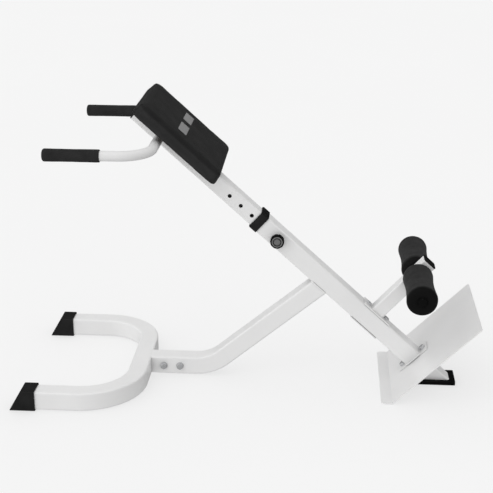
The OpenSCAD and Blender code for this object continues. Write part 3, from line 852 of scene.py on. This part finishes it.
def fit_to_box(made):
    """Scales the cover so that it fills the space of the CAD solid."""
    measured = [pad_coordinates(v.co) for v in made.data.vertices]
    half_a = max(abs(m[0]) for m in measured)
    half_b = max(abs(m[1]) for m in measured)
    top = max(m[2] for m in measured)
    low = min(m[2] for m in measured)
    for v, (a, b, h) in zip(made.data.vertices, measured):
        scaled = PAD_LOW - WRAP + (h - low) * (PAD_TOP - PAD_LOW + WRAP) / (top - low)
        v.co = pad_point(a * PAD_L / 2 / half_a, b * PAD_W / 2 / half_b, scaled)


def cutter(name, half_a, half_b, corner, low, high):
    loop = rounded_loop(half_a, half_b, corner, 8)
    build = Build()
    build.rings([[pad_point(a, b, h) for a, b in loop] for h in (low, high)])
    mesh = bpy.data.meshes.new(name)
    mesh.from_pydata([tuple(p) for p in build.points], [], build.faces)
    work = bmesh.new()
    work.from_mesh(mesh)
    bmesh.ops.recalc_face_normals(work, faces=work.faces)
    work.to_mesh(mesh)
    work.free()
    made = bpy.data.objects.new(name, mesh)
    bpy.context.scene.collection.objects.link(made)
    return made


def make_cushion():
    blank = cushion_blank()
    made = piece("hip_cushion", blank.points, blank.faces, "pad_cover", "carriage")
    remesh = made.modifiers.new("remesh", "REMESH")
    remesh.mode = "VOXEL"
    remesh.voxel_size = 0.0042
    apply_modifiers(made)
    inflate(made, 2.6 * MM)
    smooth_mesh(made, 0.5, 4)
    fit_to_box(made)
    smoother = made.modifiers.new("smoother", "SUBSURF")
    smoother.levels = smoother.render_levels = 1
    apply_modifiers(made)
    shape_cover(made)
    # The board sits in a recess, and the cover is folded under its rim.
    cutters = [
        cutter("board_cut", PAD_L / 2 - 5.8 * MM, PAD_W / 2 - 5.8 * MM, 14 * MM,
               PAD_LOW, PAD_LOW + BOARD_T + 0.3 * MM),
        cutter("rim_cut", PAD_L / 2 - 26 * MM, PAD_W / 2 - 26 * MM, 12 * MM,
               PAD_LOW - 8 * MM, PAD_LOW + 2 * MM),
    ]
    for tool in cutters:
        cut = made.modifiers.new(tool.name, "BOOLEAN")
        cut.operation = "DIFFERENCE"
        cut.solver = "EXACT"
        cut.object = tool
    apply_modifiers(made)
    for tool in cutters:
        bpy.data.objects.remove(tool)
    for polygon in made.data.polygons:
        polygon.use_smooth = True
    sharp_by_angle(made, 50)
    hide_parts("hip_pad")
    return made


def make_pad_print(cushion):
    """Two plain printed bars across the pad, in place of any mark."""
    dg = bpy.context.evaluated_depsgraph_get()
    tree = BVHTree.FromObject(cushion, dg)
    build = Build()
    step = 1.5 * MM
    for low_b, high_b in ((-88 * MM, -14 * MM), (18 * MM, 88 * MM)):
        rows, cols = 18, round((high_b - low_b) / step)
        points, faces = [], []
        for i in range(rows + 1):
            for j in range(cols + 1):
                a = (i / rows - 0.5) * 27 * MM + 9 * MM
                b = low_b + (high_b - low_b) * j / cols
                start = pad_point(a, b, PAD_TOP + 20 * MM)
                hit = tree.ray_cast(start, -OUT)[0]
                points.append(hit + OUT * 0.12 * MM)
        for i in range(rows):
            for j in range(cols):
                k = i * (cols + 1) + j
                faces.append([k, k + 1, k + cols + 2, k + cols + 1])
        build.add(points, faces)
    made = piece("pad_print", build.points, build.faces, "", "carriage", PRINT)
    thick = made.modifiers.new("thick", "SOLIDIFY")
    thick.thickness = 0.1 * MM
    thick.offset = 0


def make_staples():
    """Wire staples that hold the cover under the board's rim."""
    build = Build()
    half_a, half_b = PAD_L / 2 - 17 * MM, PAD_W / 2 - 17 * MM
    places = [(t * half_a * 0.82, side * half_b, 0) for side in (-1, 1) for t in
              (-1, -0.72, -0.44, -0.15, 0.15, 0.44, 0.72, 1)]
    places += [(side * half_a, t * half_b * 0.82, 1) for side in (-1, 1) for t in
               (-1, -0.72, -0.44, -0.15, 0.15, 0.44, 0.72, 1)]
    for a, b, turned in places:
        if turned and abs(b) < 30 * MM:             # the telescoping tube passes here
            continue
        tilt = 0.16 * noise.noise(Vector((a, b, 1)) * 300)
        run = (ACROSS if turned else ALONG) + (ALONG if turned else ACROSS) * tilt
        run.normalize()
        centre = pad_point(a, b, PAD_LOW - WRAP - 0.25 * MM)
        path = [centre + run * x * MM + OUT * z * MM for x, z in
                ((-5, 1.2), (-4.9, 0.3), (-4.4, 0), (4.4, 0), (4.9, 0.3), (5, 1.2))]
        rings = []
        for i, p in enumerate(path):
            ahead, behind = path[min(i + 1, len(path) - 1)], path[max(i - 1, 0)]
            tangent = (ahead - behind).normalized()
            side = tangent.cross(OUT if abs(tangent.dot(OUT)) < 0.9 else run).normalized()
            other = tangent.cross(side)
            rings.append([p + side * math.cos(t) * 0.6 * MM + other * math.sin(t) * 0.35 * MM
                          for t in (math.tau * n / 8 for n in range(8))])
        build.rings(rings)
    made = piece("pad_staples", build.points, build.faces, "zinc_steel", "carriage")
    sharp_by_angle(made, 50)


cushion = make_cushion()
make_pad_print(cushion)
make_staples()

# ---- Floor and light -----------------------------------------------------------------------


def make_floor():
    """A pale floor that glows a little, so that shadows on it stay faint. It casts no light on
    the bench, as the world below the horizon does that."""
    size, below = 30.0, 0.0004
    steps = 24
    points = [((i / steps - 0.5) * 2 * size, (j / steps - 0.5) * 2 * size, -below)
              for i in range(steps + 1) for j in range(steps + 1)]
    faces = [[i * (steps + 1) + j, (i + 1) * (steps + 1) + j, (i + 1) * (steps + 1) + j + 1,
              i * (steps + 1) + j + 1] for i in range(steps) for j in range(steps)]
    mesh = bpy.data.meshes.new("studio_floor")
    mesh.from_pydata(points, [], faces)
    f = Finish("studio_floor", 0.7, Specular_IOR_Level=0.0,
               Emission_Color=(1, 1, 1, 1), Emission_Strength=0.603)
    f.colour(f.mix(f.spread(f.noise(0.6, 3), 0, 1), grey(0.304), grey(0.310)))
    f.bump((f.noise(180, 3), 0.04, 0.0005))
    mesh.materials.append(f.material)
    made = bpy.data.objects.new("studio_floor", mesh)
    bpy.context.scene.collection.objects.link(made)
    made.visible_diffuse = made.visible_shadow = made.visible_glossy = False


def soft_sun(name, toward, strength, degrees):
    """A very broad sun, which lights the floor evenly and leaves hardly any shadow."""
    data = bpy.data.lights.new(name, "SUN")
    data.energy = strength
    data.angle = math.radians(degrees)
    light = bpy.data.objects.new(name, data)
    light.location = Vector(toward) * 4
    light.rotation_euler = Vector(toward).to_track_quat("Z", "Y").to_euler()
    bpy.context.scene.collection.objects.link(light)


def front_reflector():
    """A pale panel on the floor before the bench, seen only in reflections."""
    data = bpy.data.lights.new("front_reflector", "AREA")
    data.shape, data.size, data.size_y = "RECTANGLE", 4.0, 2.4
    data.energy = 27
    light = bpy.data.objects.new("front_reflector", data)
    light.location = (-0.3, -2.3, 0.03)
    light.rotation_euler = (math.pi, 0, 0)
    light.visible_camera = light.visible_diffuse = False
    bpy.context.scene.collection.objects.link(light)


# The room's light from above, and from the floor on the left and on the right.
LIGHT_ABOVE, BELOW_LEFT, BELOW_RIGHT = 0.93, 1.08, 0.32


def make_world():
    world = bpy.data.worlds.new("studio")
    bpy.context.scene.world = world
    world.use_nodes = True
    tree = world.node_tree
    place = tree.nodes.new("ShaderNodeTexCoord")
    split = tree.nodes.new("ShaderNodeSeparateXYZ")
    tree.links.new(place.outputs["Generated"], split.inputs["Vector"])

    def graded(axis, start, end, low, high):
        made = tree.nodes.new("ShaderNodeMapRange")
        for name, value in (("From Min", start), ("From Max", end), ("To Min", low), ("To Max", high)):
            made.inputs[name].default_value = value
        tree.links.new(split.outputs[axis], made.inputs["Value"])
        return made

    below = graded("X", -1, 1, BELOW_LEFT, BELOW_RIGHT)
    level = graded("Z", -0.25, 0.25, 0, LIGHT_ABOVE)
    tree.links.new(below.outputs["Result"], level.inputs["To Min"])
    background = tree.nodes["Background"]
    background.inputs["Color"].default_value = (1, 1, 1, 1)
    tree.links.new(level.outputs["Result"], background.inputs["Strength"])
    world.cycles_visibility.glossy = False


make_floor()
make_world()
front_reflector()
soft_sun("key", (-0.55, -0.60, 0.58), 0.5, 80)
bpy.context.scene.view_settings.view_transform = "Standard"
